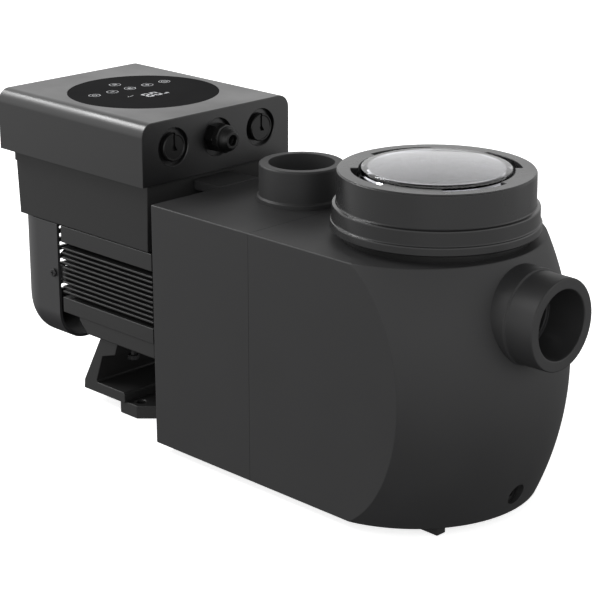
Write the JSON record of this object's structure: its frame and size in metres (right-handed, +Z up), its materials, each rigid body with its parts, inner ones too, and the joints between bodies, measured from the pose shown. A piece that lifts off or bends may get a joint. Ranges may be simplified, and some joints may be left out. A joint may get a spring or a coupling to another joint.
{
  "type": "pool pump",
  "caption": "Self-priming pool pump with a strainer tank under a clear screw-down lid, a finned motor and a speed controller on top; it draws water in at one end and sends it out upwards.",
  "frame": {"origin": "middle of the bounding box at floor level", "axes": "+X towards the suction end, +Z up, +Y across the pump"},
  "size_m": [0.636, 0.222, 0.3039],
  "materials": {
    "black_plastic": "satin moulded glass-filled plastic with a very fine grain",
    "grey_plastic": "plain moulded plastic",
    "cover_plastic": "satin dark grey moulded cover with a metallic sheen",
    "panel_glass": "glossy black touch panel",
    "rubber": "matt black rubber",
    "clear_lid": "clear moulded polycarbonate",
    "stainless_steel": "machined",
    "blackened_steel": "black plated steel screws",
    "painted_casting": "black powder coat over cast aluminium",
    "core_steel": "stacked steel laminations",
    "copper_windings": "enamelled copper wire, varnished",
    "seal_ceramic": "lapped ceramic",
    "circuit_board": "green circuit board",
    "aluminium": "extruded"
  },
  "bodies": {
    "pump": {"front_casing": "black_plastic", "rear_casing": "black_plastic", "seal_plate": "black_plastic", "fan_cover": "black_plastic", "motor_foot": "black_plastic", "bridge_cover": "black_plastic", "controller_housing": "black_plastic", "gland_body": "black_plastic", "diffuser": "grey_plastic", "controller_cover": "cover_plastic", "touch_panel": "panel_glass", "casing_gasket": "rubber", "front_foot": "rubber", "diffuser_o_ring": "rubber", "seal_plate_o_ring": "rubber", "controller_gasket": "rubber", "tie_bolt_1": "stainless_steel", "tie_bolt_2": "stainless_steel", "tie_bolt_3": "stainless_steel", "tie_bolt_4": "stainless_steel", "front_bearing_outer": "stainless_steel", "rear_bearing_outer": "stainless_steel", "wave_spring": "stainless_steel", "capacitor_bank": "stainless_steel", "fan_cover_screw_left": "blackened_steel", "fan_cover_screw_right": "blackened_steel", "foot_bolt_left": "blackened_steel", "foot_bolt_right": "blackened_steel", "motor_frame": "painted_casting", "front_end_bell": "painted_casting", "rear_end_bell": "painted_casting", "stator_core": "core_steel", "stator_windings": "copper_windings", "seal_seat": "seal_ceramic", "touch_board": "circuit_board", "power_board": "circuit_board", "heat_sink": "aluminium"},
    "rotor": {"motor_shaft": "stainless_steel", "rotor_core": "core_steel", "front_bearing_inner": "stainless_steel", "rear_bearing_inner": "stainless_steel", "cooling_fan": "black_plastic", "slinger": "rubber", "seal_head": "stainless_steel", "impeller": "grey_plastic", "impeller_screw": "stainless_steel"},
    "front_ball_set": {"front_bearing_balls": "stainless_steel"},
    "rear_ball_set": {"rear_bearing_balls": "stainless_steel"},
    "lid": {"lid_lens": "clear_lid", "lid_o_ring": "rubber"},
    "ring": {"lock_ring": "black_plastic"},
    "basket": {"strainer_basket": "grey_plastic"},
    "drain_seal": {"drain_plug_o_ring": "rubber"},
    "drain": {"drain_plug": "black_plastic"},
    "gland_insert": {"gland_seal": "rubber"},
    "gland_cap": {"gland_nut": "black_plastic"},
    "left_plug_seal": {"plug_o_ring_left": "rubber"},
    "left_plug": {"blanking_plug_left": "black_plastic"},
    "right_plug_seal": {"plug_o_ring_right": "rubber"},
    "right_plug": {"blanking_plug_right": "black_plastic"}
  },
  "joints": [
    {"name": "shaft_spin", "type": "hinge", "parent": "pump", "child": "rotor", "pos_m": [0, 0, 0.126], "axis": [1, 0, 0], "continuous": true},
    {"name": "front_balls_roll", "type": "hinge", "parent": "pump", "child": "front_ball_set", "pos_m": [-0.0925, 0, 0.126], "axis": [1, 0, 0], "continuous": true},
    {"name": "rear_balls_roll", "type": "hinge", "parent": "pump", "child": "rear_ball_set", "pos_m": [-0.2402, 0, 0.126], "axis": [1, 0, 0], "continuous": true},
    {"name": "lid_lift", "type": "slide", "parent": "pump", "child": "lid", "axis": [0, 0, 1], "range_m": [0, 0.52]},
    {"name": "ring_turn", "type": "hinge", "parent": "lid", "child": "ring", "pos_m": [0.179, 0, 0.27], "axis": [0, 0, 1], "range_deg": [0, 120]},
    {"name": "basket_lift", "type": "slide", "parent": "pump", "child": "basket", "axis": [0, 0, 1], "range_m": [0, 0.24]},
    {"name": "drain_out", "type": "slide", "parent": "pump", "child": "drain_seal", "axis": [1, 0, 0], "range_m": [0, 0.011]},
    {"name": "drain_turn", "type": "hinge", "parent": "drain_seal", "child": "drain", "pos_m": [0.265, 0, 0.028], "axis": [1, 0, 0], "range_deg": [0, 2160]},
    {"name": "gland_out", "type": "slide", "parent": "pump", "child": "gland_insert", "axis": [1, 0, 0], "range_m": [0, 0.0122]},
    {"name": "gland_turn", "type": "hinge", "parent": "gland_insert", "child": "gland_cap", "pos_m": [-0.08, 0, 0.277], "axis": [1, 0, 0], "range_deg": [0, 2880]},
    {"name": "left_plug_out", "type": "slide", "parent": "pump", "child": "left_plug_seal", "axis": [1, 0, 0], "range_m": [0, 0.0092]},
    {"name": "left_plug_turn", "type": "hinge", "parent": "left_plug_seal", "child": "left_plug", "pos_m": [-0.1, 0.0556, 0.277], "axis": [1, 0, 0], "range_deg": [0, 2160]},
    {"name": "right_plug_out", "type": "slide", "parent": "pump", "child": "right_plug_seal", "axis": [1, 0, 0], "range_m": [0, 0.0092]},
    {"name": "right_plug_turn", "type": "hinge", "parent": "right_plug_seal", "child": "right_plug", "pos_m": [-0.1, -0.0556, 0.277], "axis": [1, 0, 0], "range_deg": [0, 2160]}
  ],
  "couplings": [
    {"joint": "front_balls_roll", "follows": "shaft_spin", "ratio": 0.3806},
    {"joint": "rear_balls_roll", "follows": "shaft_spin", "ratio": 0.3807},
    {"joint": "basket_lift", "follows": "lid_lift", "ratio": 0.46},
    {"joint": "drain_out", "follows": "drain_turn", "m_per_rad": 0.00028648},
    {"joint": "gland_out", "follows": "gland_turn", "m_per_rad": 0.00023873},
    {"joint": "left_plug_out", "follows": "left_plug_turn", "m_per_rad": 0.00023873},
    {"joint": "right_plug_out", "follows": "right_plug_turn", "m_per_rad": 0.00023873}
  ]
}
